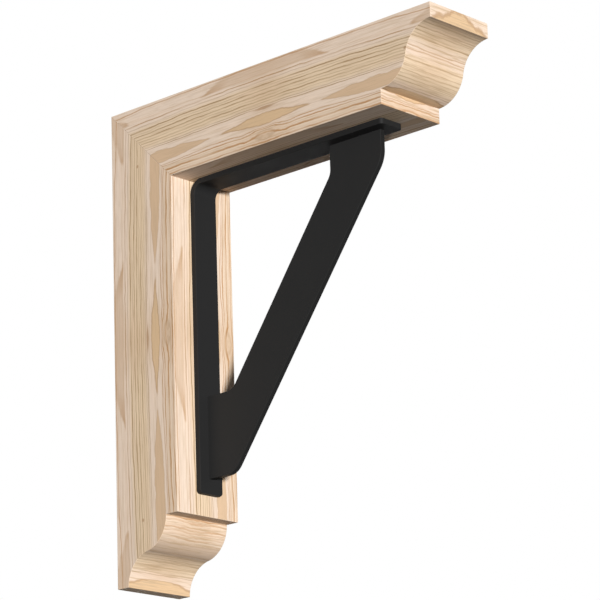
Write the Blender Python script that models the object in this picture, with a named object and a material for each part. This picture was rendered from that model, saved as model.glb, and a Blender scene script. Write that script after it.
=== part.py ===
"""A timber corbel bracket: a mitred post and beam with a steel angle strap and a welded diagonal brace.

The bracket hangs on a wall. Two square timbers of one section meet in a mitre at the top of the wall. Each
free end is cut to the same moulded profile: a flat, a cove, a round and a step. A bent steel strap lines the
inside of the corner, and a flat steel plate, set on edge in the middle of the strap, braces it.

Frame: metres, +X out of the wall, +Y across the bracket, +Z up. The origin is the centre of the wall face.
Outlines are drawn in the side plane as (out, down) from the top of the wall face.
"""

import math

import bmesh
import bpy
from mathutils import Euler, Vector

INCH = 0.0254

# Timber
BRACKET_HEIGHT = 32.0 * INCH
BRACKET_PROJECTION = 28.0 * INCH
TIMBER_WIDTH = 5.5 * INCH
TIMBER_DEPTH = 5.5 * INCH

# Moulded end of each timber
END_LENGTH = 4.1875 * INCH
END_FLAT = 1.0 * INCH
END_STEP = 1.0 * INCH
ARC_STEPS = 20

# Bent strap inside the corner
STRAP_WIDTH = 2.0 * INCH
STRAP_THICKNESS = 0.375 * INCH
STRAP_ARM_MARGIN = 1.5625 * INCH
STRAP_LEG_MARGIN = 1.375 * INCH
STRAP_BEND_RADIUS = 0.625 * INCH
STRAP_CORNER_RADIUS = 0.25 * INCH
STRAP_CORNER_STEPS = 5
BEND_STEPS = 10

# Diagonal brace plate
BRACE_THICKNESS = 0.375 * INCH
BRACE_ARM_MARGIN = 0.8125 * INCH
BRACE_ARM_TAB = 4.3125 * INCH
BRACE_LEG_MARGIN = 1.0 * INCH
BRACE_LEG_TAB = 5.4375 * INCH
BRACE_TAB_DROP = 1.875 * INCH
BRACE_TAB_REACH = 2.1875 * INCH
BRACE_HOLLOW_RADIUS = 1.0 * INCH
BRACE_ARM_SHOULDER_RADIUS = 2.0 * INCH
BRACE_LEG_SHOULDER_RADIUS = 1.25 * INCH
KINK_STEPS = 8

# Clearance between pieces that touch
JOINT_GAP = 0.0003

# Where the pieces lie, worked out from the sizes above
MITRE_OFFSET = JOINT_GAP / math.sqrt(2.0)
ARM_END_STEP_OUT = BRACKET_PROJECTION - END_LENGTH
LEG_END_STEP_DOWN = BRACKET_HEIGHT - END_LENGTH
STRAP_BACK = TIMBER_DEPTH + JOINT_GAP
STRAP_FACE = STRAP_BACK + STRAP_THICKNESS
STRAP_ARM_END = ARM_END_STEP_OUT - STRAP_ARM_MARGIN
STRAP_LEG_END = LEG_END_STEP_DOWN - STRAP_LEG_MARGIN
BRACE_SEAT = STRAP_FACE + JOINT_GAP
BRACE_ARM_FAR = STRAP_ARM_END - BRACE_ARM_MARGIN
BRACE_ARM_NEAR = BRACE_ARM_FAR - BRACE_ARM_TAB
BRACE_LEG_FAR = STRAP_LEG_END - BRACE_LEG_MARGIN
BRACE_LEG_NEAR = BRACE_LEG_FAR - BRACE_LEG_TAB
BRACE_KINK_DOWN = BRACE_SEAT + BRACE_TAB_DROP
BRACE_KINK_OUT = BRACE_SEAT + BRACE_TAB_REACH

COLLECTION_NAME = "timber_corbel_bracket"


def clear_scene():
    """Remove every object that the open file holds."""
    for scene_object in list(bpy.data.objects):
        bpy.data.objects.remove(scene_object, do_unlink=True)


def make_material(name, colour, roughness, metallic):
    """Return a Principled material of one colour."""
    material = bpy.data.materials.new(name)
    material.use_nodes = True
    shader = material.node_tree.nodes["Principled BSDF"]
    shader.inputs["Base Color"].default_value = (*colour, 1.0)
    shader.inputs["Roughness"].default_value = roughness
    shader.inputs["Metallic"].default_value = metallic
    return material


def arc_points(centre, radius, start_angle, end_angle, steps):
    """Return points along a circular arc, both ends included."""
    points = []
    for step in range(steps + 1):
        angle = start_angle + (end_angle - start_angle) * step / steps
        points.append(centre + radius * Vector((math.cos(angle), math.sin(angle))))
    return points


def end_profile():
    """Return the moulded end as (in from the end, away from the back face) points.

    The cove and the round are two equal arcs. They start and finish parallel to the timber, and meet in a
    common tangent halfway.
    """
    rise = TIMBER_DEPTH - END_FLAT - END_STEP
    radius = (END_LENGTH ** 2 + rise ** 2) / (4.0 * rise)
    sweep = math.acos(1.0 - rise / (2.0 * radius))
    cove_centre = Vector((0.0, END_FLAT + radius))
    round_centre = Vector((END_LENGTH, TIMBER_DEPTH - END_STEP - radius))
    quarter = math.pi / 2.0
    cove = arc_points(cove_centre, radius, -quarter, -quarter + sweep, ARC_STEPS)
    swell = arc_points(round_centre, radius, quarter + sweep, quarter, ARC_STEPS)
    return [Vector((0.0, 0.0))] + cove + swell[1:] + [Vector((END_LENGTH, TIMBER_DEPTH))]


def arm_outline():
    """Return the beam's side outline, from the mitre's outer corner round the moulded end."""
    end = [Vector((BRACKET_PROJECTION - inward, across)) for inward, across in end_profile()]
    return [Vector((MITRE_OFFSET, 0.0))] + end + [Vector((TIMBER_DEPTH + MITRE_OFFSET, TIMBER_DEPTH))]


def leg_outline():
    """Return the post's side outline, from the mitre's outer corner round the moulded end."""
    end = [Vector((across, BRACKET_HEIGHT - inward)) for inward, across in end_profile()]
    return [Vector((0.0, MITRE_OFFSET))] + end + [Vector((TIMBER_DEPTH, TIMBER_DEPTH + MITRE_OFFSET))]


def rounded_outline(corners, steps):
    """Return an outline whose corners are rounded.

    Each corner is (point, radius). A radius of None keeps the corner sharp.
    """
    points = []
    for index, (corner, radius) in enumerate(corners):
        if radius is None:
            points.append(corner)
            continue
        before = (corners[index - 1][0] - corner).normalized()
        after = (corners[(index + 1) % len(corners)][0] - corner).normalized()
        half_angle = before.angle(after) / 2.0
        bisector = (before + after).normalized()
        centre = corner + bisector * radius / math.sin(half_angle)
        start = corner + before * radius / math.tan(half_angle) - centre
        finish = corner + after * radius / math.tan(half_angle) - centre
        start_angle = math.atan2(start.y, start.x)
        turn = math.atan2(start.x * finish.y - start.y * finish.x, start.dot(finish))
        points.extend(arc_points(centre, radius, start_angle, start_angle + turn, steps))
    return points


def strap_outline():
    """Return the strap's side outline: an angle whose bend has the same thickness all round."""
    return rounded_outline([
        (Vector((STRAP_BACK, STRAP_BACK)), STRAP_BEND_RADIUS + STRAP_THICKNESS),
        (Vector((STRAP_ARM_END, STRAP_BACK)), None),
        (Vector((STRAP_ARM_END, STRAP_FACE)), None),
        (Vector((STRAP_FACE, STRAP_FACE)), STRAP_BEND_RADIUS),
        (Vector((STRAP_FACE, STRAP_LEG_END)), None),
        (Vector((STRAP_BACK, STRAP_LEG_END)), None),
    ], BEND_STEPS)


def brace_outline():
    """Return the brace plate's side outline: a tab on each leg of the strap and the strip between them."""
    return rounded_outline([
        (Vector((BRACE_ARM_NEAR, BRACE_SEAT)), None),
        (Vector((BRACE_ARM_FAR, BRACE_SEAT)), None),
        (Vector((BRACE_ARM_FAR, BRACE_KINK_DOWN)), BRACE_ARM_SHOULDER_RADIUS),
        (Vector((BRACE_KINK_OUT, BRACE_LEG_FAR)), BRACE_LEG_SHOULDER_RADIUS),
        (Vector((BRACE_SEAT, BRACE_LEG_FAR)), None),
        (Vector((BRACE_SEAT, BRACE_LEG_NEAR)), None),
        (Vector((BRACE_KINK_OUT, BRACE_LEG_NEAR)), BRACE_HOLLOW_RADIUS),
        (Vector((BRACE_ARM_NEAR, BRACE_KINK_DOWN)), BRACE_HOLLOW_RADIUS),
    ], KINK_STEPS)


def extrude_outline(name, outline, width, material, collection):
    """Return a mesh object: a side outline, centred across the bracket and stood in its place on the wall."""
    curve = bpy.data.curves.new(name + "_outline", "CURVE")
    curve.dimensions = "2D"
    curve.fill_mode = "BOTH"
    curve.extrude = width / 2.0
    spline = curve.splines.new("POLY")
    spline.points.add(len(outline) - 1)
    for spline_point, (out, down) in zip(spline.points, outline):
        spline_point.co = (out, BRACKET_HEIGHT / 2.0 - down, 0.0, 1.0)
    spline.use_cyclic_u = True
    guide = bpy.data.objects.new(name + "_outline", curve)
    guide.rotation_euler = Euler((math.pi / 2.0, 0.0, 0.0))
    collection.objects.link(guide)
    bpy.context.view_layer.update()

    evaluated = guide.evaluated_get(bpy.context.evaluated_depsgraph_get())
    mesh = bpy.data.meshes.new_from_object(evaluated)
    mesh.name = name
    weld_mesh(mesh)
    mesh.materials.clear()
    mesh.materials.append(material)
    piece = bpy.data.objects.new(name, mesh)
    piece.matrix_world = guide.matrix_world
    collection.objects.link(piece)
    bpy.data.objects.remove(guide, do_unlink=True)
    return piece


def weld_mesh(mesh):
    """Join a filled curve's caps to its sides."""
    shape = bmesh.new()
    shape.from_mesh(mesh)
    bmesh.ops.remove_doubles(shape, verts=shape.verts, dist=1e-6)
    bmesh.ops.recalc_face_normals(shape, faces=shape.faces)
    shape.to_mesh(mesh)
    shape.free()


def shade_round(piece):
    """Smooth the moulded and bent faces and keep the arrises sharp."""
    piece.data.shade_smooth()
    piece.data.set_sharp_from_angle(angle=math.radians(30.0))


def round_strap_ends(piece):
    """Round the four corners of the strap's two free ends, seen square on to the strap."""
    arm_end = Vector((STRAP_ARM_END, BRACKET_HEIGHT / 2.0 - STRAP_BACK))
    leg_end = Vector((STRAP_BACK, BRACKET_HEIGHT / 2.0 - STRAP_LEG_END))
    shape = bmesh.new()
    shape.from_mesh(piece.data)
    corners = []
    for edge in shape.edges:
        first, second = edge.verts
        across = abs(first.co.z - second.co.z)
        at_arm_end = all(abs(vertex.co.x - arm_end.x) < JOINT_GAP for vertex in edge.verts)
        at_leg_end = all(abs(vertex.co.y - leg_end.y) < JOINT_GAP for vertex in edge.verts)
        if across < JOINT_GAP and (at_arm_end or at_leg_end):
            corners.append(edge)
    bmesh.ops.bevel(
        shape,
        geom=corners,
        offset=STRAP_CORNER_RADIUS,
        offset_type="OFFSET",
        segments=STRAP_CORNER_STEPS,
        profile=0.5,
        affect="EDGES",
    )
    shape.to_mesh(piece.data)
    shape.free()


def build_bracket():
    """Model the four pieces and return them."""
    collection = bpy.data.collections.new(COLLECTION_NAME)
    bpy.context.scene.collection.children.link(collection)
    softwood = make_material("smooth_softwood", (0.66, 0.47, 0.31), 0.6, 0.0)
    powder_coat = make_material("black_powder_coat", (0.018, 0.018, 0.019), 0.5, 0.0)

    leg = extrude_outline("back_leg", leg_outline(), TIMBER_WIDTH, softwood, collection)
    arm = extrude_outline("top_arm", arm_outline(), TIMBER_WIDTH, softwood, collection)
    strap = extrude_outline("steel_strap", strap_outline(), STRAP_WIDTH, powder_coat, collection)
    round_strap_ends(strap)
    brace = extrude_outline("diagonal_brace", brace_outline(), BRACE_THICKNESS, powder_coat, collection)

    pieces = [leg, arm, strap, brace]
    for piece in pieces:
        shade_round(piece)
    return pieces


clear_scene()
build_bracket()
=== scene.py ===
"""Looks of the timber corbel bracket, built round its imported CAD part.

The bracket is two softwood timbers mitred into a right angle, a bent steel strap that lines the inside of
the corner, and a steel plate that braces the strap. Each CAD node is replaced by a finer mesh of the same
size with eased arrises. The softwood is drawn from the board's own growth rings, and the steel wears black
powder coat.

Frame: metres, +X out of the wall, +Y across the bracket, +Z up, origin in the centre of the wall face.
Outlines are drawn in the side plane as (out, down) from the top of the wall face, and sizes are in inches.
"""

from __future__ import annotations

import logging
import math
from collections.abc import Callable, Sequence
from dataclasses import dataclass
from enum import Enum
from functools import reduce

import bmesh
import bpy
from mathutils import Matrix, Vector


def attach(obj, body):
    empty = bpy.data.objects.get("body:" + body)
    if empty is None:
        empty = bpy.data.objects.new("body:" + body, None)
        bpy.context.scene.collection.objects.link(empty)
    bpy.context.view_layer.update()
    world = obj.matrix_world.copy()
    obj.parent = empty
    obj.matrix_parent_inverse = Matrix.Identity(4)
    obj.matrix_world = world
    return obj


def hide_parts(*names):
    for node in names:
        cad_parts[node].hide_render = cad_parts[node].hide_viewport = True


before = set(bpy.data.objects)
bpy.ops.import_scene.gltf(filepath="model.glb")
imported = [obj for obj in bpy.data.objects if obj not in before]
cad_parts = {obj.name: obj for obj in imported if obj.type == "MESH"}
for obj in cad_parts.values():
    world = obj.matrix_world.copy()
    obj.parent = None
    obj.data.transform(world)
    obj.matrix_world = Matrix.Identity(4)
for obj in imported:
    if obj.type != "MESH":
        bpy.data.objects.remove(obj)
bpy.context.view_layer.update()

INCH = 0.0254
BODY = "root"
BOARD_ATTRIBUTE = "board"
FIBRE_ATTRIBUTE = "fibre"

# Sizes that several pieces share, in inches

WALL_FACE_HEIGHT = 32.0
TIMBER_SECTION = 5.5
STRAP_THICKNESS = 0.375
JOINT_GAP = 0.0003 / INCH
WELD_GAP = 0.0001 / INCH

# Limits that tell faces and edges apart, in inches, metres and radians

SIDEWAYS = 0.7
FACE_TOLERANCE = 0.03
END_TOLERANCE = 0.02
SEAT_TOLERANCE = 0.002
SAME_PLACE = 1e-5
ARRIS_ANGLE = math.radians(30.0)
CREASE_ANGLE = math.radians(60.0)

log = logging.getLogger("corbel_bracket")

Socket = bpy.types.NodeSocket
Value = float | Socket
Colour = tuple[float, float, float]
Inputs = dict[str | int, object]


class Slot(Enum):
    """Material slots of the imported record."""

    SOFTWOOD = "softwood"
    POWDER_COAT = "black_powder_coat"


class Run(Enum):
    """Faces of a timber, each with its own stretch of the board's figure. The value is the figure's seed."""

    NEAR_SIDE = 0.0
    FAR_SIDE = 3.0
    OUTER = 5.0
    INNER = 0.5
    MITRE = 8.0
    MOULDING = 1.0


# The board's figure, in inches across the grain from the heart line

HEART_LINE = 3.9
# How far the heart's ovals push the rings aside, by the distance along the grain from the middle
HEART_SPREAD = (
    (0.0, 0.36), (1.0, 0.32), (2.0, 0.20), (2.9, 0.085), (3.7, 0.025), (4.2, 0.0), (4.6, 0.0), (5.0, 0.03),
    (5.8, 0.14), (7.2, 0.32), (9.5, 0.45), (12.0, 0.48), (16.0, 0.4),
)
# For each ring: how far out its sharp edge lies, and how dark it is above the heart line and below it
RINGS = (
    (0.55, 0.15, 0.95),
    (0.80, 0.95, 1.00),
    (0.95, 0.60, 0.20),
    (1.15, 0.55, 1.00),
    (1.34, 0.90, 0.30),
    (1.52, 0.50, 0.90),
    (1.73, 0.90, 0.60),
    (1.98, 0.95, 0.40),
    (2.15, 0.45, 0.70),
    (2.34, 1.00, 0.40),
    (2.60, 0.50, 0.60),
    (2.84, 0.90, 0.50),
    (3.10, 0.30, 0.60),
    (3.40, 0.15, 0.40),
    (3.62, 0.25, 0.30),
    (3.80, 0.75, 0.30),
    (4.30, 0.40, 0.30),
)
# How thick a ring's dark part is
LATEWOOD = 0.115
# How strong the yellow band is, by the distance from the heart line
BAND_TONE = (
    (-4.2, 0.0), (-2.7, 0.0), (-2.3, 0.85), (-1.3, 1.0), (-0.9, 0.5), (-0.5, 0.0), (0.5, 0.0), (1.0, 0.4),
    (1.8, 0.3),
)

# Laying out shader nodes


class Sheet:
    """A node tree that is being laid out, with one short method for each kind of node."""

    def __init__(self, tree: bpy.types.NodeTree) -> None:
        """Start on a tree.

        Args:
            tree: the material's, world's or group's node tree.
        """
        self.tree = tree

    def add(self, kind: str, inputs: Inputs | None = None, **settings: object) -> bpy.types.Node:
        """Add a node, set its plain properties and feed its inputs.

        Args:
            kind: the node's class name, without "ShaderNode".
            inputs: a plain value or a socket for each input, by its name or number.
            settings: properties of the node, by name.

        Returns:
            The new node.
        """
        node = self.tree.nodes.new("ShaderNode" + kind)
        for name, setting in settings.items():
            setattr(node, name, setting)
        self.fill(node, inputs or {})
        return node

    def feed(self, socket: Socket, value: object) -> None:
        """Give an input its value, or link what makes it.

        Args:
            socket: the input.
            value: a socket to link, or a plain value.
        """
        if isinstance(value, bpy.types.NodeSocket):
            self.tree.links.new(value, socket)
        else:
            socket.default_value = value

    def fill(self, node: bpy.types.Node, inputs: Inputs) -> None:
        """Feed several inputs of a node, given by name or number."""
        for name, value in inputs.items():
            self.feed(node.inputs[name], value)

    def calc(self, operation: str, *values: Value, clamp: bool = False) -> Socket:
        """Work out one number.

        Args:
            operation: the Math node's operation.
            values: what it works on.
            clamp: whether the result is kept between 0 and 1.

        Returns:
            The result.
        """
        node = self.add("Math", dict(enumerate(values)), operation=operation, use_clamp=clamp)
        return node.outputs["Value"]

    def scaled(self, value: Value, factor: Value, offset: Value = 0.0) -> Socket:
        """Return value * factor + offset."""
        return self.calc("MULTIPLY_ADD", value, factor, offset)

    def times(self, *values: Value) -> Socket:
        """Return the product of two or more numbers."""
        return reduce(lambda first, second: self.calc("MULTIPLY", first, second), values)

    def plus(self, *values: Value) -> Socket:
        """Return the sum of two or more numbers."""
        return reduce(lambda first, second: self.calc("ADD", first, second), values)

    def minus(self, first: Value, second: Value) -> Socket:
        """Return the first number less the second."""
        return self.calc("SUBTRACT", first, second)

    def vector(self, x: Value, y: Value, z: Value) -> Socket:
        """Return a vector made of three numbers."""
        return self.add("CombineXYZ", {"X": x, "Y": y, "Z": z}).outputs["Vector"]

    def split(self, vector: Socket) -> tuple[Socket, ...]:
        """Return a vector's three numbers."""
        return tuple(self.add("SeparateXYZ", {"Vector": vector}).outputs)

    def length(self, x: Value, y: Value) -> Socket:
        """Return the length of (x, y)."""
        return self.calc("SQRT", self.plus(self.times(x, x), self.times(y, y)))

    def noise(self, vector: Socket, scale: Value, detail: float = 2.0, roughness: float = 0.5) -> Socket:
        """Return smooth noise from 0 to 1.

        Args:
            vector: where it is read.
            scale: cells for each unit of the vector.
            detail: octaves.
            roughness: strength of the finer octaves.

        Returns:
            The noise.
        """
        inputs = {"Vector": vector, "Scale": scale, "Detail": detail, "Roughness": roughness}
        return self.add("TexNoise", inputs).outputs["Fac"]

    def grain(
        self, place: Sequence[Value], cells: tuple[float, float], detail: float = 2.0, roughness: float = 0.5
    ) -> Socket:
        """Return noise that is drawn out along the grain.

        Args:
            place: along the grain, across it, and the seed.
            cells: cells for each inch along and across.
            detail: octaves.
            roughness: strength of the finer octaves.

        Returns:
            The noise, from 0 to 1.
        """
        along, across, seed = place
        where = self.vector(self.scaled(along, cells[0]), self.scaled(across, cells[1]), seed)
        return self.noise(where, 1.0, detail, roughness)

    def ease(self, value: Value, low: float, high: float, start: float = 0.0, stop: float = 1.0) -> Socket:
        """Return a smooth step.

        Args:
            value: what is read.
            low: where the step starts.
            high: where it ends, which may lie below low.
            start: the result up to low.
            stop: the result from high on.

        Returns:
            The eased number.
        """
        if low > high:
            low, high, start, stop = high, low, stop, start
        inputs = {"Value": value, "From Min": low, "From Max": high, "To Min": start, "To Max": stop}
        return self.add("MapRange", inputs, interpolation_type="SMOOTHSTEP").outputs["Result"]

    def curve(self, value: Value, points: Sequence[tuple[float, float]]) -> Socket:
        """Return a number read from a drawn curve.

        Args:
            value: what is read, over the span of the points.
            points: (value, result) pairs in order, with results from 0 to 1.

        Returns:
            The result.
        """
        low, high = points[0][0], points[-1][0]
        span = self.add("MapRange", {"Value": value, "From Min": low, "From Max": high})
        node = self.add("FloatCurve", {"Value": span.outputs["Result"]})
        line = node.mapping.curves[0]
        while len(line.points) < len(points):
            line.points.new(0.5, 0.5)
        for place, (where, result) in zip(line.points, points):
            place.location = ((where - low) / (high - low), result)
            place.handle_type = "AUTO_CLAMPED"
        node.mapping.update()
        return node.outputs["Value"]

    def blend(self, factor: Value, first: object, second: object, mode: str = "MIX") -> Socket:
        """Return one colour laid over another.

        Args:
            factor: how much of the second shows.
            first: the colour below.
            second: the colour above.
            mode: how they are mixed.

        Returns:
            The mixed colour.
        """
        node = self.add("Mix", {"Factor": factor}, data_type="RGBA", blend_type=mode, clamp_factor=True)
        for name, colour in (("A", first), ("B", second)):
            socket = next(s for s in node.inputs if s.name == name and s.type == "RGBA")
            if isinstance(colour, tuple):
                colour = (*colour, 1.0)
            self.feed(socket, colour)
        return next(s for s in node.outputs if s.type == "RGBA")

    def shade(self, colour: object, tone: Socket) -> Socket:
        """Return a colour times a number."""
        return self.blend(1.0, colour, self.vector(tone, tone, tone), "MULTIPLY")

    def relief(self, height: Socket, strength: float, distance: float) -> Socket:
        """Return the normal of a relief, which is that distance high in metres for each unit of height."""
        node = self.add("Bump", {"Height": height, "Strength": strength, "Distance": distance})
        return node.outputs["Normal"]

    def place(self, group: bpy.types.NodeTree, **inputs: object) -> bpy.types.NodeOutputs:
        """Place a node group, feed its inputs by name and return its outputs."""
        return self.add("Group", inputs, node_tree=group).outputs


class Effect:
    """A shader node group that more than one material uses."""

    def __init__(self, name: str, inputs: dict[str, tuple[str, object]], outputs: Sequence[str]) -> None:
        """Start the group and name its sockets.

        Args:
            name: the group's name.
            inputs: for each input, the socket's kind and its usual value, or None.
            outputs: the names of the outputs, which all are numbers.
        """
        self.tree = bpy.data.node_groups.new(name, "ShaderNodeTree")
        face = self.tree.interface
        for label, (kind, usual) in inputs.items():
            socket = face.new_socket(label, in_out="INPUT", socket_type="NodeSocket" + kind)
            if usual is not None:
                socket.default_value = usual
        for label in outputs:
            face.new_socket(label, in_out="OUTPUT", socket_type="NodeSocketFloat")
        self.sheet = Sheet(self.tree)
        self.inputs = self.tree.nodes.new("NodeGroupInput").outputs
        self.outputs = self.tree.nodes.new("NodeGroupOutput").inputs

    def give(self, **values: Socket) -> bpy.types.NodeTree:
        """Link the outputs.

        Args:
            values: what each output gives, by socket name with underscores for spaces.

        Returns:
            The finished group.
        """
        for name, value in values.items():
            self.sheet.feed(self.outputs[name.replace("_", " ")], value)
        return self.tree


@dataclass(frozen=True)
class Mark:
    """A small mark on a board: where its middle lies, in inches, and how much it is squeezed each way."""

    along: float
    across: float
    squeeze_along: float
    squeeze_across: float

    def distance(self, sheet: Sheet, along: Socket, across: Socket) -> Socket:
        """Return the distance from the mark's middle, which is 1 about where the mark ends.

        Args:
            sheet: where the nodes are laid out.
            along: the place along the grain.
            across: the place across it.

        Returns:
            The distance.
        """
        return sheet.length(
            sheet.scaled(along, self.squeeze_along, -self.along * self.squeeze_along),
            sheet.scaled(across, self.squeeze_across, -self.across * self.squeeze_across),
        )


ROUND_KNOT = Mark(0.0, 5.0, 1.3, 5.5)
DASH = Mark(0.0, 3.1778, 0.95, 9.0)
PIN_KNOT = Mark(11.875, 2.26, 8.0, 10.0)


def board_figure() -> bpy.types.NodeTree:
    """Build the flat-sawn figure of one softwood board.

    The board vector is in inches: along the grain from the middle of the timber, across the grain, and a
    seed. Every ring is a line of equal distance from the heart line, and the ovals of the heart push the
    rings next to them aside. The figure is mirrored about the middle of the timber.

    Returns:
        The group, with masks for the latewood lines and the yellow band that they lie in, the heart ovals,
        the middle oval and their rims, the flames at the board's edge and their dark tips, the knots and
        their rims, the darker middle, the zones with warm lines, and the faces that are cut across the board.
    """
    effect = Effect(
        "Board figure",
        {"Board": ("Vector", None), "Wander": ("Float", 1.0)},
        (
            "Lines", "Band", "Heart", "Core", "Rim", "Flame", "Flame tip", "Knot", "Knot rim", "Middle",
            "Warm", "Cut",
        ),
    )
    sheet = effect.sheet
    along, across, seed = sheet.split(effect.inputs["Board"])
    reach = sheet.calc("ABSOLUTE", along)
    place = (reach, across, seed)
    cut = sheet.calc("COMPARE", seed, Run.MOULDING.value, 0.1)
    uncut = sheet.scaled(cut, -1.0, 1.0)

    # How the grain wanders, bows and bends round the knot
    near_knot = sheet.times(sheet.ease(reach, 3.4, 0.8), sheet.ease(across, 3.8, 4.4, 0.0, 0.18))
    unrest = sheet.plus(sheet.ease(across, 2.8, 4.2, 0.16, 0.19), near_knot)
    slow = sheet.grain(place, (0.16, 0.45))
    quick = sheet.times(sheet.grain(place, (0.75, 1.3), 3.0), unrest)
    drift = sheet.plus(sheet.scaled(slow, 0.26, -0.13), sheet.scaled(unrest, -0.5, quick))
    drift = sheet.times(drift, effect.inputs["Wander"])
    bow = sheet.scaled(sheet.times(reach, reach), -0.0015, 0.06)
    round_knot = sheet.times(
        sheet.ease(reach, 1.7, 0.1, 0.0, 0.16),
        sheet.ease(across, 4.15, 4.6),
        sheet.ease(across, 5.2, 4.85, -0.6, 1.0),
        sheet.scaled(cut, -0.7, 1.0),
    )
    bowed = sheet.plus(across, round_knot, sheet.plus(bow, drift))

    # The ovals of the heart
    from_heart = sheet.scaled(bowed, 1.0, -HEART_LINE)
    gap = sheet.calc("ABSOLUTE", from_heart)
    side = sheet.calc("SIGN", from_heart)
    uneven = sheet.grain((reach, side, seed), (0.9, 1.0), 3.0)
    spread = sheet.times(sheet.curve(reach, HEART_SPREAD), sheet.scaled(uneven, 1.2, 0.4))
    push = sheet.times(spread, sheet.ease(gap, 0.30, 0.85, 1.0, 0.0))
    depth = sheet.minus(gap, push)
    opened = sheet.ease(spread, 0.0, 0.03)
    heart = sheet.times(sheet.ease(depth, 0.03, -0.03), opened)
    rim = sheet.times(
        sheet.ease(sheet.calc("ABSOLUTE", depth), 0.07, 0.01),
        sheet.scaled(opened, 0.6, 0.4),
        sheet.ease(reach, 3.2, 5.5, 1.0, 0.5),
    )

    # The rings, counted outwards, each with its own width, strength and thickness
    edges = [0.0] + [edge for edge, _, _ in RINGS]
    rings = sheet.curve(depth, [(edge, index / len(RINGS)) for index, edge in enumerate(edges)])
    rings = sheet.scaled(rings, len(RINGS))
    middles = sheet.scaled(sheet.calc("FLOOR", rings), 1.0, 0.5)
    widths = [outer - inner for inner, outer in zip(edges, edges[1:])]
    width = sheet.curve(middles, [(index + 0.5, width) for index, width in enumerate(widths)])
    signed = sheet.times(middles, side)
    above = [(-index - 0.5, dark) for index, (_, dark, _) in enumerate(RINGS)]
    below = [(index + 0.5, dark) for index, (_, _, dark) in enumerate(RINGS)]
    strength = sheet.curve(signed, above[::-1] + below)
    before_edge = sheet.times(sheet.scaled(sheet.calc("FRACT", rings), -1.0, 1.0), width)
    lower = sheet.calc("GREATER_THAN", signed, 0.0)
    thick = sheet.scaled(cut, sheet.scaled(lower, 0.45, -0.15), sheet.scaled(lower, 0.45, 0.4))
    stretched = sheet.calc("DIVIDE", before_edge, sheet.scaled(strength, 0.7, thick))
    late = sheet.times(sheet.ease(stretched, LATEWOOD, 0.03), sheet.ease(before_edge, 0.0, 0.015))
    fading = sheet.grain((reach, signed, seed), (0.3, 1.7))
    lines = sheet.times(late, sheet.times(strength, sheet.ease(fading, 0.34, 0.58, 0.50)))

    # The flames at the board's edge, each with a dark tip
    edge_zone = sheet.ease(bowed, 0.98, 0.86)
    ripple = sheet.scaled(sheet.grain(place, (0.9, 5.0)), 1.4, -0.7)
    ripple = sheet.plus(sheet.scaled(drift, 4.0), ripple)
    beyond = sheet.plus(sheet.minus(reach, sheet.scaled(across, 2.4, 3.4)), ripple)
    before = sheet.minus(sheet.minus(sheet.scaled(across, -2.0, 14.3), reach), ripple)
    flames = []
    tips = []
    for inside, start, stop in ((beyond, -2.2, -0.2), (before, -1.2, 0.0)):
        flame = sheet.times(sheet.ease(inside, 0.15, -0.45), edge_zone)
        flames.append(flame)
        tips.append(sheet.times(flame, sheet.ease(inside, start, stop)))
    tip = sheet.times(sheet.calc("MAXIMUM", *tips), sheet.ease(bowed, 0.25, 0.85, 0.1))

    # The knots and a short dark dash
    knot_at = sheet.plus(ROUND_KNOT.distance(sheet, reach, bowed), sheet.scaled(quick, 1.2, -0.2))
    knot = sheet.ease(knot_at, 1.3, 0.6)
    knot_rim = sheet.ease(sheet.calc("ABSOLUTE", sheet.scaled(knot_at, 1.0, -1.0)), 0.4, 0.05, 0.0, 0.45)
    pin = sheet.ease(PIN_KNOT.distance(sheet, reach, bowed), 1.3, 0.5)
    dash = sheet.ease(DASH.distance(sheet, reach, bowed), 1.2, 0.4)
    knot_rim = sheet.calc("MAXIMUM", sheet.calc("MAXIMUM", knot_rim, pin), dash)
    return effect.give(
        Lines=lines,
        Band=sheet.curve(sheet.times(depth, side), BAND_TONE),
        Heart=heart,
        Core=sheet.ease(reach, 4.4, 3.2),
        Rim=rim,
        Flame=sheet.calc("MAXIMUM", *flames),
        Flame_tip=tip,
        Knot=sheet.times(knot, uncut),
        Knot_rim=sheet.times(knot_rim, uncut),
        Middle=sheet.ease(reach, 3.2, 0.0),
        Warm=sheet.plus(sheet.ease(bowed, 1.3, 0.9), sheet.ease(bowed, 3.0, 3.8)),
        Cut=cut,
    )


def wood_fibre() -> bpy.types.NodeTree:
    """Build the fine fibre of a planed softwood face.

    Returns:
        The group, with fine streaks along the grain, darker threads, broad changes of tone, and resin flecks.
    """
    effect = Effect("Wood fibre", {"Fibre": ("Vector", None)}, ("Streaks", "Threads", "Broad", "Flecks"))
    sheet = effect.sheet
    place = sheet.split(effect.inputs["Fibre"])
    mirrored = (sheet.calc("ABSOLUTE", place[0]), *place[1:])
    return effect.give(
        Streaks=sheet.grain(place, (0.9, 16.0), 4.0, 0.6),
        Threads=sheet.ease(sheet.grain(place, (0.32, 7.5), 2.0, 0.6), 0.48, 0.62),
        Broad=sheet.grain(mirrored, (0.1, 0.8), 3.0),
        Flecks=sheet.ease(sheet.grain(place, (2.2, 22.0), 1.0), 0.66, 0.76),
    )


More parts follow.
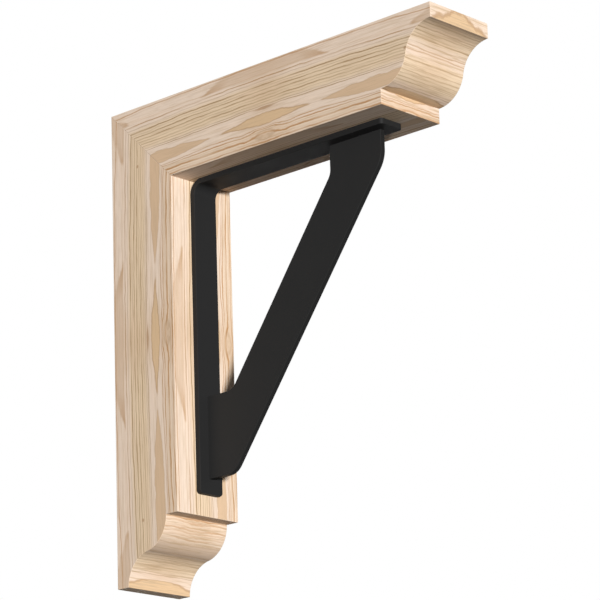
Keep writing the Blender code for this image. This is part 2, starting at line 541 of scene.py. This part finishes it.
def eased_arris() -> bpy.types.NodeTree:
    """Build a mask that marks the arrises, where handling rubs a finish.

    Returns:
        The group, with 1 on the arris and 0 on the faces.
    """
    effect = Effect("Eased arris", {"Patchiness": ("Float", 0.5)}, ("Arris",))
    sheet = effect.sheet
    eased = sheet.add("Bevel", {"Radius": 0.0012}, samples=6).outputs["Normal"]
    faceted = sheet.add("NewGeometry").outputs["Normal"]
    agree = sheet.add("VectorMath", {0: eased, 1: faceted}, operation="DOT_PRODUCT").outputs["Value"]
    turned = sheet.ease(agree, 0.995, 0.86)
    patches = sheet.noise(sheet.add("TexCoord").outputs["Object"], 60.0, 3.0)
    patchy = sheet.scaled(sheet.ease(patches, 0.35, 0.6, -1.0, 0.0), effect.inputs["Patchiness"], 1.0)
    return effect.give(Arris=sheet.calc("MULTIPLY", turned, patchy, clamp=True))


def orange_peel() -> bpy.types.NodeTree:
    """Build the fine dimpled skin of a sprayed or powdered coat.

    Returns:
        The group, with the height of the dimples and slow changes of sheen.
    """
    effect = Effect("Orange peel", {"Grain": ("Float", 900.0)}, ("Height", "Sheen"))
    sheet = effect.sheet
    where = sheet.add("TexCoord").outputs["Object"]
    dimples = sheet.noise(where, effect.inputs["Grain"])
    return effect.give(Height=dimples, Sheen=sheet.noise(where, 22.0, 3.0))


@dataclass(frozen=True)
class Effects:
    """The shader node groups that the finishes share."""

    figure: bpy.types.NodeTree
    fibre: bpy.types.NodeTree
    arris: bpy.types.NodeTree
    peel: bpy.types.NodeTree

    @classmethod
    def build(cls) -> Effects:
        """Build each group once."""
        return cls(board_figure(), wood_fibre(), eased_arris(), orange_peel())


def new_material(name: str) -> tuple[bpy.types.Material, Sheet, bpy.types.Node]:
    """Start a material.

    Args:
        name: the material's name.

    Returns:
        The material, its node sheet and its Principled shader.
    """
    material = bpy.data.materials.new(name)
    material.use_nodes = True
    sheet = Sheet(material.node_tree)
    return material, sheet, material.node_tree.nodes["Principled BSDF"]


# Finishes


@dataclass(frozen=True)
class SoftwoodFinish:
    """Smooth, unfinished softwood with a flat-sawn figure."""

    name: str
    wander: float = 1.0
    specular: float = 0.3
    sapwood: Colour = (0.750, 0.602, 0.480)
    band: Colour = (0.730, 0.564, 0.388)
    blush: Colour = (0.700, 0.510, 0.375)
    heart: Colour = (0.620, 0.433, 0.275)
    core: Colour = (0.645, 0.448, 0.262)
    latewood: Colour = (0.320, 0.195, 0.090)
    warm_latewood: Colour = (0.430, 0.215, 0.080)
    thread: Colour = (0.520, 0.375, 0.235)
    middle: Colour = (0.560, 0.380, 0.235)
    flame: Colour = (0.610, 0.445, 0.315)
    tip: Colour = (0.500, 0.320, 0.190)
    rim: Colour = (0.430, 0.270, 0.150)
    knot: Colour = (0.600, 0.425, 0.275)
    knot_rim: Colour = (0.400, 0.245, 0.135)
    arris: Colour = (0.760, 0.620, 0.490)

    def material(self, effects: Effects) -> bpy.types.Material:
        """Build the material.

        Args:
            effects: the shared node groups.

        Returns:
            The softwood.
        """
        material, sheet, shader = new_material(self.name)
        board = sheet.add("Attribute", attribute_name=BOARD_ATTRIBUTE).outputs["Vector"]
        figure = sheet.place(effects.figure, Board=board, Wander=self.wander)
        strands = sheet.add("Attribute", attribute_name=FIBRE_ATTRIBUTE).outputs["Vector"]
        fibre = sheet.place(effects.fibre, Fibre=strands)
        arris = sheet.place(effects.arris, Patchiness=0.6)["Arris"]

        colour = sheet.blend(figure["Band"], self.sapwood, self.band)
        colour = sheet.blend(sheet.ease(fibre["Broad"], 0.5, 0.72, 0.0, 0.4), colour, self.blush)
        heart = sheet.blend(figure["Core"], self.heart, self.core)
        heart = sheet.blend(sheet.ease(fibre["Streaks"], 0.48, 0.72, 0.0, 0.45), heart, self.middle)
        late = sheet.blend(figure["Warm"], self.latewood, self.warm_latewood)
        pale_cut = sheet.times(figure["Cut"], sheet.scaled(figure["Warm"], -0.75, 1.0))
        lines = sheet.times(figure["Lines"], sheet.scaled(pale_cut, -0.40, 0.95))
        threads = sheet.times(fibre["Threads"], sheet.scaled(figure["Cut"], 0.38, 0.34))
        for mask, tone in (
            (sheet.scaled(figure["Middle"], 0.36), self.middle),
            (sheet.scaled(figure["Heart"], 0.95), heart),
            (sheet.scaled(figure["Flame"], 0.72), self.flame),
            (sheet.scaled(figure["Flame tip"], 0.85), self.tip),
            (threads, self.thread),
            (lines, late),
            (sheet.scaled(figure["Rim"], 0.75), self.rim),
            (sheet.scaled(figure["Knot"], 0.30), self.knot),
            (sheet.scaled(figure["Knot rim"], 0.8), self.knot_rim),
        ):
            colour = sheet.blend(mask, colour, tone)
        tone = sheet.scaled(fibre["Streaks"], sheet.scaled(figure["Cut"], 0.14, 0.30), 0.84)
        tone = sheet.plus(tone, sheet.scaled(fibre["Broad"], 0.16, -0.08))
        tone = sheet.minus(tone, sheet.scaled(fibre["Flecks"], 0.07))
        tone = sheet.minus(tone, sheet.scaled(figure["Cut"], 0.05))
        colour = sheet.blend(sheet.scaled(arris, 0.35), sheet.shade(colour, tone), self.arris)
        rough = sheet.plus(sheet.scaled(fibre["Streaks"], 0.16, 0.52), sheet.scaled(figure["Lines"], -0.08))
        height = sheet.plus(fibre["Streaks"], sheet.scaled(figure["Lines"], 0.5))
        sheet.fill(shader, {
            "Base Color": colour,
            "Roughness": rough,
            "Specular IOR Level": self.specular,
            "Normal": sheet.relief(height, 0.25, 0.0004),
        })
        return material


@dataclass(frozen=True)
class PowderCoatFinish:
    """Black powder coat on steel, fine-grained and low in sheen, whose narrow edge faces can be painted
    darker as painted shade.
    """

    name: str
    coat: Colour
    specular: float
    roughness: float = 0.56
    # Painted shade: below 1, the narrow edge faces take a darker copy of the coat
    painted_edge_shade: float = 1.0
    rubbed: Colour = (0.034, 0.033, 0.032)
    grain: float = 900.0

    def material(self, effects: Effects) -> bpy.types.Material:
        """Build the material.

        Args:
            effects: the shared node groups.

        Returns:
            The powder coat.
        """
        material, sheet, shader = new_material(self.name)
        peel = sheet.place(effects.peel, Grain=self.grain)
        arris = sheet.place(effects.arris, Patchiness=0.8)["Arris"]
        lighter = tuple(1.3 * part for part in self.coat)
        base = sheet.blend(sheet.scaled(peel["Sheen"], 0.3), self.coat, lighter)
        # Painted shade: the narrow edge faces, found by their normal, are painted darker in place of shade
        # that the lights don't give them
        facing = sheet.split(sheet.add("TexCoord").outputs["Normal"])[1]
        painted_shade_edges = sheet.ease(sheet.calc("ABSOLUTE", facing), 0.9, 0.5)
        base = sheet.blend(painted_shade_edges, base, tuple(self.painted_edge_shade * part for part in self.coat))
        base = sheet.blend(sheet.scaled(arris, 0.22), base, self.rubbed)
        rough = sheet.scaled(peel["Sheen"], 0.14, self.roughness - 0.07)
        sheet.fill(shader, {
            "Base Color": base,
            "Roughness": sheet.plus(rough, sheet.scaled(arris, -0.04)),
            "Specular IOR Level": self.specular,
            "Normal": sheet.relief(peel["Height"], 0.18, 0.0002),
        })
        return material


# Shaping pieces


def arc(centre: Vector, radius: float, start: float, stop: float, steps: int) -> list[Vector]:
    """Return points along a circular arc.

    Args:
        centre: the arc's centre.
        radius: its radius.
        start: the first angle in radians.
        stop: the last angle in radians.
        steps: pieces that the arc is cut into.

    Returns:
        The points, both ends included.
    """
    angles = (start + (stop - start) * step / steps for step in range(steps + 1))
    return [centre + radius * Vector((math.cos(angle), math.sin(angle))) for angle in angles]


def rounded(corners: Sequence[tuple[float, float, float]], steps: int) -> list[Vector]:
    """Return an outline whose corners are rounded.

    Args:
        corners: (out, down, radius) for each corner, with a radius of 0 where it stays sharp.
        steps: pieces in each rounded corner.

    Returns:
        The outline's points.
    """
    points: list[Vector] = []
    places = [Vector((out, down)) for out, down, _ in corners]
    for index, (corner, (_, _, radius)) in enumerate(zip(places, corners)):
        if radius == 0.0:
            points.append(corner)
            continue
        before = (places[index - 1] - corner).normalized()
        after = (places[(index + 1) % len(places)] - corner).normalized()
        half = before.angle(after) / 2.0
        centre = corner + (before + after).normalized() * radius / math.sin(half)
        first = corner + before * radius / math.tan(half) - centre
        last = corner + after * radius / math.tan(half) - centre
        start = math.atan2(first.y, first.x)
        turn = math.atan2(first.x * last.y - first.y * last.x, first.dot(last))
        points.extend(arc(centre, radius, start, start + turn, steps))
    return points


def in_frame(out: float, down: float, across: float) -> Vector:
    """Return the place in the frame of a point that many inches out, down and across."""
    return Vector((out, across, WALL_FACE_HEIGHT / 2.0 - down)) * INCH


def in_side_plane(spot: Vector) -> tuple[float, float]:
    """Return how many inches out and down a place in the frame lies."""
    return spot.x / INCH, WALL_FACE_HEIGHT / 2.0 - spot.z / INCH


def prism(outline: Sequence[Vector], width: float) -> bmesh.types.BMesh:
    """Draw a side outline out across the bracket.

    Args:
        outline: the (out, down) points in inches.
        width: the width in inches, centred.

    Returns:
        The closed shape.
    """
    shape = bmesh.new()
    rows = []
    for across in (-width / 2.0, width / 2.0):
        rows.append([shape.verts.new(in_frame(out, down, across)) for out, down in outline])
    near, far = rows
    shape.faces.new(near)
    shape.faces.new(reversed(far))
    for index, corner in enumerate(near):
        shape.faces.new((far[index], far[index - 1], near[index - 1], corner))
    bmesh.ops.recalc_face_normals(shape, faces=shape.faces)
    return shape


def ease_arrises(
    shape: bmesh.types.BMesh,
    radius: float,
    segments: int = 2,
    joint: Callable[[Vector], bool] | None = None,
) -> None:
    """Round every arris that is sharper than the facets of an arc.

    Args:
        shape: what is eased.
        radius: the rounding in inches.
        segments: facets across each arris.
        joint: says whether a place lies in a joint's face, whose arrises stay crisp.
    """
    arrises = [edge for edge in shape.edges if edge.is_manifold and edge.calc_face_angle() > ARRIS_ANGLE]
    if joint is not None:
        arrises = [edge for edge in arrises if not all(joint(vertex.co) for vertex in edge.verts)]
    bmesh.ops.bevel(
        shape,
        geom=arrises,
        offset=radius * INCH,
        offset_type="OFFSET",
        segments=segments,
        profile=0.5,
        affect="EDGES",
        clamp_overlap=True,
    )


def finish_piece(
    shape: bmesh.types.BMesh, name: str, material: bpy.types.Material
) -> bpy.types.Object:
    """Turn a shape into a piece that stands for the CAD node of that name.

    Args:
        shape: the finished shape, which is freed.
        name: the CAD node that it replaces.
        material: what it is made of.

    Returns:
        The piece.
    """
    mesh = bpy.data.meshes.new(name + "_shape")
    shape.to_mesh(mesh)
    shape.free()
    mesh.materials.append(material)
    mesh.shade_smooth()
    mesh.set_sharp_from_angle(angle=CREASE_ANGLE)
    piece = bpy.data.objects.new(name + "_dressed", mesh)
    bpy.context.scene.collection.objects.link(piece)
    facing = piece.modifiers.new("flat faces stay flat", "WEIGHTED_NORMAL")
    facing.keep_sharp = True
    facing.weight = 100
    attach(piece, BODY)
    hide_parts(name)
    return piece


# The bracket


@dataclass(frozen=True)
class MouldedEnd:
    """The flat, cove, round and step at a timber's free end, in inches."""

    length: float = 4.1875
    flat: float = 1.0
    step: float = 1.0
    depth: float = TIMBER_SECTION
    arc_steps: int = 48

    def profile(self) -> list[Vector]:
        """Return the profile.

        Returns:
            The points, each as (in from the end, away from the back face).
        """
        rise = self.depth - self.flat - self.step
        radius = (self.length ** 2 + rise ** 2) / (4.0 * rise)
        sweep = math.acos(1.0 - rise / (2.0 * radius))
        quarter = math.pi / 2.0
        cove = arc(Vector((0.0, self.flat + radius)), radius, -quarter, -quarter + sweep, self.arc_steps)
        centre = Vector((self.length, self.depth - self.step - radius))
        swell = arc(centre, radius, quarter + sweep, quarter, self.arc_steps)
        return [Vector((0.0, 0.0))] + cove + swell[1:] + [Vector((self.length, self.depth))]


@dataclass
class Timber:
    """One timber: square in section, mitred at one end and moulded at the other. Sizes are in inches.

    The moulding run says where the moulded face cuts the board, as pairs of the distance down the face and
    the place across the board. The shifts move the figure of two faces along the grain.
    """

    node: str
    length: float
    width: float = TIMBER_SECTION
    depth: float = TIMBER_SECTION
    mitre_gap: float = JOINT_GAP / math.sqrt(2.0)
    arris: float = 0.022
    far_shift: float = 4.0
    outer_shift: float = -3.0
    moulding_run: tuple[tuple[float, float], ...] = ((0.0, 0.0), (8.0, 5.5))

    def place(self, along: float, deep: float) -> Vector:
        """Return (out, down) of a point that far from the mitre's outer corner and from the outer face."""
        raise NotImplementedError

    def lay(self, out: float, down: float) -> tuple[float, float]:
        """Return how far a point lies along the timber and from its outer face."""
        raise NotImplementedError

    def outline(self) -> list[Vector]:
        """Return the side outline.

        Returns:
            The points, from the mitre's outer corner round the moulded end.
        """
        end = [self.place(self.length - inward, deep) for inward, deep in MouldedEnd().profile()]
        start = self.place(self.mitre_gap, 0.0)
        inner = self.place(self.depth + self.mitre_gap, self.depth)
        return [start] + end + [inner]

    def run_of(self, normal: Vector, along: float, deep: float) -> Run:
        """Return the run that a face belongs to.

        Args:
            normal: the face's normal.
            along: how far along the timber its middle lies.
            deep: how far from the outer face it lies.

        Returns:
            The run.
        """
        if abs(normal.y) > SIDEWAYS:
            return Run.NEAR_SIDE if normal.y < 0.0 else Run.FAR_SIDE
        if along > self.length - MouldedEnd().length - END_TOLERANCE and deep > FACE_TOLERANCE:
            return Run.MOULDING
        if deep < FACE_TOLERANCE:
            return Run.OUTER
        return Run.INNER if deep > self.depth - FACE_TOLERANCE else Run.MITRE

    def unrolled(self, along: float, deep: float) -> float:
        """Return the distance down the moulded face of a point near it.

        Args:
            along: how far along the timber the point lies.
            deep: how far from the outer face it lies.

        Returns:
            The distance from the face's start at the outer face.
        """
        place = Vector((self.length - along, deep))
        profile = MouldedEnd().profile()
        best = (math.inf, 0.0)
        gone = 0.0
        for first, second in zip(profile, profile[1:]):
            span = second - first
            share = min(max((place - first).dot(span) / span.length_squared, 0.0), 1.0)
            best = min(best, ((first + share * span - place).length, gone + share * span.length))
            gone += span.length
        return best[1]

    def cut_at(self, gone: float) -> float:
        """Return where the moulded face cuts the board.

        Args:
            gone: the distance down the face.

        Returns:
            The place across the board.
        """
        for (low, first), (high, second) in zip(self.moulding_run, self.moulding_run[1:]):
            if gone <= high:
                return first + (second - first) * (gone - low) / (high - low)
        return self.moulding_run[-1][1]

    def in_mitre(self, spot: Vector) -> bool:
        """Return whether a place in the frame lies in the mitre's plane."""
        out, down = in_side_plane(spot)
        return abs(out - down) < FACE_TOLERANCE

    def board_place(self, run: Run, spot: Vector) -> tuple[float, float, float]:
        """Return where a corner of a face lies on the board.

        Args:
            run: the face's run.
            spot: the corner's place in the frame.

        Returns:
            The board vector: inches along the grain, inches across it, and the seed.
        """
        across = spot.y / INCH
        along, deep = self.lay(*in_side_plane(spot))
        middle = along - self.length / 2.0
        if run is Run.NEAR_SIDE:
            return middle, deep, run.value
        if run is Run.FAR_SIDE:
            return middle + self.far_shift, deep, run.value
        if run is Run.OUTER:
            return middle + self.outer_shift, self.width / 2.0 - across, run.value
        if run is Run.INNER:
            return middle, across + self.width / 2.0, run.value
        if run is Run.MOULDING:
            return across, self.cut_at(self.unrolled(along, deep)), run.value
        return across, deep, run.value

    def build(self, material: bpy.types.Material) -> bpy.types.Object:
        """Build the timber and write its board and fibre vectors.

        Args:
            material: its softwood.

        Returns:
            The piece.
        """
        shape = prism(self.outline(), self.width)
        ease_arrises(shape, self.arris, joint=self.in_mitre)
        board = shape.loops.layers.float_vector.new(BOARD_ATTRIBUTE)
        fibre = shape.loops.layers.float_vector.new(FIBRE_ATTRIBUTE)
        for face in shape.faces:
            run = self.run_of(face.normal, *self.lay(*in_side_plane(face.calc_center_median())))
            for loop in face.loops:
                along, across, seed = self.board_place(run, loop.vert.co)
                loop[board] = Vector((along, across, seed))
                if run is Run.MOULDING:
                    # The fibre keeps its fineness all the way down the moulded face
                    across = self.unrolled(*self.lay(*in_side_plane(loop.vert.co)))
                loop[fibre] = Vector((along, across, seed))
        return finish_piece(shape, self.node, material)


@dataclass
class BackLeg(Timber):
    """The timber that stands against the wall."""

    node: str = "back_leg"
    length: float = WALL_FACE_HEIGHT
    moulding_run: tuple[tuple[float, float], ...] = (
        (0.0, 5.3), (0.99, 4.0), (1.0, 3.95), (1.67, 3.53), (1.82, 3.3), (2.3, 2.85), (3.9, 1.35),
        (4.0, 0.85), (5.2, 0.2), (5.21, 6.9), (7.93, 4.3),
    )

    def place(self, along: float, deep: float) -> Vector:
        """Return (out, down) of a point of the leg."""
        return Vector((deep, along))

    def lay(self, out: float, down: float) -> tuple[float, float]:
        """Return how far down the leg a point lies and how far from the wall."""
        return down, out


@dataclass
class TopArm(Timber):
    """The timber that reaches out under what the bracket carries."""

    node: str = "top_arm"
    length: float = 28.0
    moulding_run: tuple[tuple[float, float], ...] = (
        (0.0, 4.25), (1.0, 3.98), (1.01, 3.0), (3.5, 0.95), (6.1, 3.1), (6.25, 3.53), (6.92, 4.05),
        (7.1, 4.27), (7.5, 4.7), (7.93, 4.95),
    )

    def place(self, along: float, deep: float) -> Vector:
        """Return (out, down) of a point of the arm."""
        return Vector((along, deep))

    def lay(self, out: float, down: float) -> tuple[float, float]:
        """Return how far out along the arm a point lies and how far from its top."""
        return out, down


@dataclass
class Strap:
    """The bent steel strap that lines the inside of the corner. Sizes are in inches."""

    node: str = "steel_strap"
    width: float = 2.0
    thickness: float = STRAP_THICKNESS
    back: float = TIMBER_SECTION + JOINT_GAP
    arm_end: float = 22.25
    leg_end: float = 26.4375
    bend_radius: float = 0.625
    corner_radius: float = 0.25
    bend_steps: int = 20
    corner_steps: int = 10
    arris: float = 0.025
    arris_steps: int = 3

    def outline(self) -> list[Vector]:
        """Return the side outline.

        Returns:
            The points of an angle whose bend has the same thickness all round.
        """
        face = self.back + self.thickness
        return rounded((
            (self.back, self.back, self.bend_radius + self.thickness),
            (self.arm_end, self.back, 0.0),
            (self.arm_end, face, 0.0),
            (face, face, self.bend_radius),
            (face, self.leg_end, 0.0),
            (self.back, self.leg_end, 0.0),
        ), self.bend_steps)

    def round_ends(self, shape: bmesh.types.BMesh) -> None:
        """Round the four corners of the free ends, seen square on to the strap.

        Args:
            shape: the strap's shape.
        """
        far = self.arm_end * INCH
        low = (WALL_FACE_HEIGHT / 2.0 - self.leg_end) * INCH
        corners = []
        for edge in shape.edges:
            first, second = (vertex.co for vertex in edge.verts)
            level = abs(first.y - second.y) < SAME_PLACE
            at_arm_end = max(abs(first.x - far), abs(second.x - far)) < SAME_PLACE
            at_leg_end = max(abs(first.z - low), abs(second.z - low)) < SAME_PLACE
            if level and (at_arm_end or at_leg_end):
                corners.append(edge)
        bmesh.ops.bevel(
            shape,
            geom=corners,
            offset=self.corner_radius * INCH,
            offset_type="OFFSET",
            segments=self.corner_steps,
            profile=0.5,
            affect="EDGES",
        )

    def build(self, material: bpy.types.Material) -> bpy.types.Object:
        """Build the strap.

        Args:
            material: its coat.

        Returns:
            The piece.
        """
        shape = prism(self.outline(), self.width)
        self.round_ends(shape)
        ease_arrises(shape, self.arris, self.arris_steps)
        return finish_piece(shape, self.node, material)


@dataclass
class Brace:
    """The steel plate on edge that braces the strap. Sizes are in inches."""

    node: str = "diagonal_brace"
    thickness: float = 0.375
    seat: float = TIMBER_SECTION + JOINT_GAP + STRAP_THICKNESS + WELD_GAP
    arm_near: float = 17.125
    arm_far: float = 21.4375
    leg_near: float = 20.0
    leg_far: float = 25.4375
    tab_drop: float = 1.875
    tab_reach: float = 2.1875
    hollow: float = 1.0
    arm_shoulder: float = 2.0
    leg_shoulder: float = 1.25
    corner_steps: int = 24
    arris: float = 0.025
    arris_steps: int = 3

    def outline(self) -> list[Vector]:
        """Return the plate's side outline.

        Returns:
            The points of a tab on each leg of the strap and of the strip between them.
        """
        down = self.seat + self.tab_drop
        out = self.seat + self.tab_reach
        return rounded((
            (self.arm_near, self.seat, 0.0),
            (self.arm_far, self.seat, 0.0),
            (self.arm_far, down, self.arm_shoulder),
            (out, self.leg_far, self.leg_shoulder),
            (self.seat, self.leg_far, 0.0),
            (self.seat, self.leg_near, 0.0),
            (out, self.leg_near, self.hollow),
            (self.arm_near, down, self.hollow),
        ), self.corner_steps)

    def on_seat(self, spot: Vector) -> bool:
        """Return whether a place in the frame lies in a welded edge of the plate."""
        out, down = in_side_plane(spot)
        return min(abs(out - self.seat), abs(down - self.seat)) < SEAT_TOLERANCE

    def build(self, material: bpy.types.Material) -> bpy.types.Object:
        """Build the plate.

        Args:
            material: its coat.

        Returns:
            The piece.
        """
        shape = prism(self.outline(), self.thickness)
        ease_arrises(shape, self.arris, self.arris_steps, joint=self.on_seat)
        return finish_piece(shape, self.node, material)


# The studio


def direction(azimuth: float, elevation: float) -> Vector:
    """Return the direction in which a light or the camera lies.

    Args:
        azimuth: degrees from the bracket's near side round to its front.
        elevation: degrees above the level.

    Returns:
        The direction, of length 1.
    """
    turn, rise = math.radians(azimuth), math.radians(elevation)
    return Vector((math.sin(turn) * math.cos(rise), -math.cos(turn) * math.cos(rise), math.sin(rise)))


@dataclass(frozen=True)
class SoftLight:
    """A distant studio light. Its angles are in degrees."""

    name: str
    azimuth: float
    elevation: float
    strength: float
    spread: float
    tint: Colour = (1.0, 1.0, 1.0)
    distance: float = 3.0

    def build(self) -> None:
        """Hang the light."""
        lamp = bpy.data.lights.new(self.name, "SUN")
        lamp.energy = self.strength
        lamp.angle = math.radians(self.spread)
        lamp.color = self.tint
        light = bpy.data.objects.new(self.name, lamp)
        towards = direction(self.azimuth, self.elevation)
        light.rotation_euler = towards.to_track_quat("Z", "Y").to_euler()
        light.location = towards * self.distance
        bpy.context.scene.collection.objects.link(light)


@dataclass
class Studio:
    """The pale floor, the white surround, the soft lights and the camera."""

    ambient: float = 0.055
    mirrored: float = 0.25
    floor_drop: float = 4.0
    floor_size: float = 60.0
    floor_colour: Colour = (0.88, 0.88, 0.88)
    camera_azimuth: float = 42.483
    camera_elevation: float = -16.110
    camera_roll: float = -1.8366
    camera_distance: float = 186.219
    camera_target: tuple[float, float, float] = (14.0354, 0.0, 0.6984)
    lens: float = 177.486
    sensor: float = 36.0
    farthest: float = 200.0
    lights: tuple[SoftLight, ...] = (
        SoftLight("key light", azimuth=57.0, elevation=-4.5, strength=4.85, spread=8.0),
        SoftLight("overhead light", azimuth=90.0, elevation=88.0, strength=2.6, spread=30.0),
        SoftLight("back light", azimuth=225.0, elevation=12.0, strength=2.6, spread=30.0),
    )

    def surround(self) -> None:
        """Make the white surround, which lights the bracket faintly and mirrors in it a little more."""
        world = bpy.data.worlds.new("white surround")
        bpy.context.scene.world = world
        world.use_nodes = True
        sheet = Sheet(world.node_tree)
        path = sheet.add("LightPath").outputs
        glow = sheet.scaled(path["Is Glossy Ray"], self.mirrored - self.ambient, self.ambient)
        white = (1.0, 1.0, 1.0, 1.0)
        dim = world.node_tree.nodes["Background"]
        sheet.fill(dim, {"Color": white, "Strength": glow})
        bright = sheet.add("Background", {"Color": white, "Strength": 1.0})
        sides = {1: dim.outputs["Background"], 2: bright.outputs["Background"]}
        choice = sheet.add("MixShader", {"Fac": path["Is Camera Ray"], **sides})
        sheet.fill(world.node_tree.nodes["World Output"], {"Surface": choice.outputs["Shader"]})

    def floor(self) -> None:
        """Lay the pale floor well below the bracket."""
        material, sheet, shader = new_material("pale floor")
        mottle = sheet.noise(sheet.add("TexCoord").outputs["Object"], 1.5, 3.0)
        colour = sheet.shade(self.floor_colour, sheet.scaled(mottle, 0.02, 0.99))
        sheet.fill(shader, {"Base Color": colour, "Roughness": 0.9})
        half = self.floor_size / 2.0
        mesh = bpy.data.meshes.new("floor_shape")
        corners = ((-half, -half), (half, -half), (half, half), (-half, half))
        mesh.from_pydata([(x, y, -self.floor_drop) for x, y in corners], [], [(0, 1, 2, 3)])
        mesh.materials.append(material)
        floor = bpy.data.objects.new("floor", mesh)
        bpy.context.scene.collection.objects.link(floor)
        floor.visible_diffuse = False
        floor.visible_glossy = False
        floor.visible_shadow = False

    def camera(self) -> None:
        """Set up the camera."""
        back = direction(self.camera_azimuth, self.camera_elevation)
        level = Vector((0.0, 0.0, 1.0)).cross(back).normalized()
        upright = back.cross(level)
        roll = math.radians(self.camera_roll)
        right = math.cos(roll) * level + math.sin(roll) * upright
        up = math.cos(roll) * upright - math.sin(roll) * level
        place = (Vector(self.camera_target) + back * self.camera_distance) * INCH
        lens = bpy.data.cameras.new("camera")
        lens.lens = self.lens
        lens.sensor_width = self.sensor
        lens.clip_end = self.farthest
        camera = bpy.data.objects.new("camera", lens)
        axes = Matrix((right, up, back)).transposed().to_4x4()
        camera.matrix_world = Matrix.Translation(place) @ axes
        bpy.context.scene.collection.objects.link(camera)
        bpy.context.scene.camera = camera

    def build(self) -> None:
        """Set up the whole studio."""
        bpy.context.scene.view_settings.view_transform = "Standard"
        self.surround()
        self.floor()
        self.camera()
        for light in self.lights:
            light.build()


def main() -> None:
    """Dress the bracket and set up the studio."""
    logging.basicConfig(level=logging.INFO, format="%(name)s: %(message)s")
    effects = Effects.build()
    leg_wood = SoftwoodFinish("post_softwood").material(effects)
    arm_wood = SoftwoodFinish("beam_softwood").material(effects)
    # Painted light and shade: the strap and the brace wear one black powder coat, but the brace's copy is
    # painted lighter and the strap's darker, standing in for how differently the lights fall on their faces
    strap_coat_painted_darker = PowderCoatFinish("strap_powder_coat_painted_darker", coat=(0.0160, 0.0160, 0.0161), specular=0.12)
    brace_coat_painted_lighter = PowderCoatFinish(
        "brace_powder_coat_painted_lighter", coat=(0.0196, 0.0195, 0.0194), specular=0.15, painted_edge_shade=0.62
    )
    pieces = (
        BackLeg().build(leg_wood),
        TopArm().build(arm_wood),
        Strap().build(strap_coat_painted_darker.material(effects)),
        Brace().build(brace_coat_painted_lighter.material(effects)),
    )
    for piece in pieces:
        log.info("%s: %d faces", piece.name, len(piece.data.polygons))
    Studio().build()


if __name__ == "__main__":
    main()
